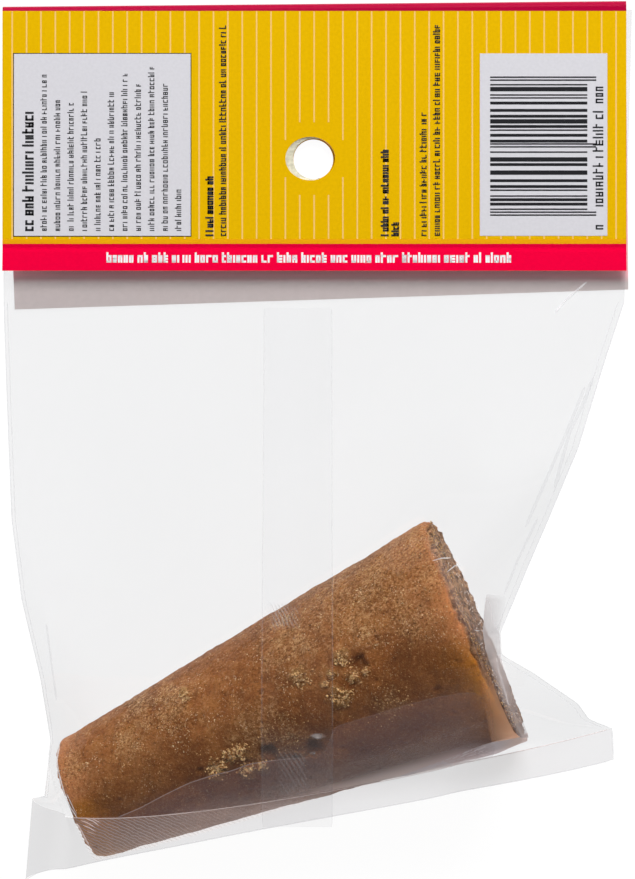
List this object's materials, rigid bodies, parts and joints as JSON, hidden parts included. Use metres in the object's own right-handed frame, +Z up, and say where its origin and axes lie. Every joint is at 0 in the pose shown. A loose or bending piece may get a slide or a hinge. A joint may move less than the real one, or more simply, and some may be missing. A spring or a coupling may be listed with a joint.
{
  "type": "piloncillo sugar cone in a header-card bag",
  "caption": "Raw cane sugar cone lying on its side in a clear sealed film bag, closed by a folded printed header card with a hang hole and a crimped bottom seal.",
  "frame": {"origin": "centre of the pack's bounding box, at the surface that it lies on", "axes": "+X across the pack along the card's fold, +Y from the bottom seal towards the card's fold, +Z up from the surface, towards the side that shows"},
  "size_m": [0.142, 0.1978, 0.054],
  "materials": {
    "sugar": "grainy pressed raw sugar, dull with fine sparkle",
    "film": "clear glossy thin film",
    "card": "coated printed card, yellow with a magenta band"
  },
  "bodies": {
    "root": {"sugar_cone": "sugar", "bag_film": "film", "header_card": "card"}
  },
  "joints": []
}
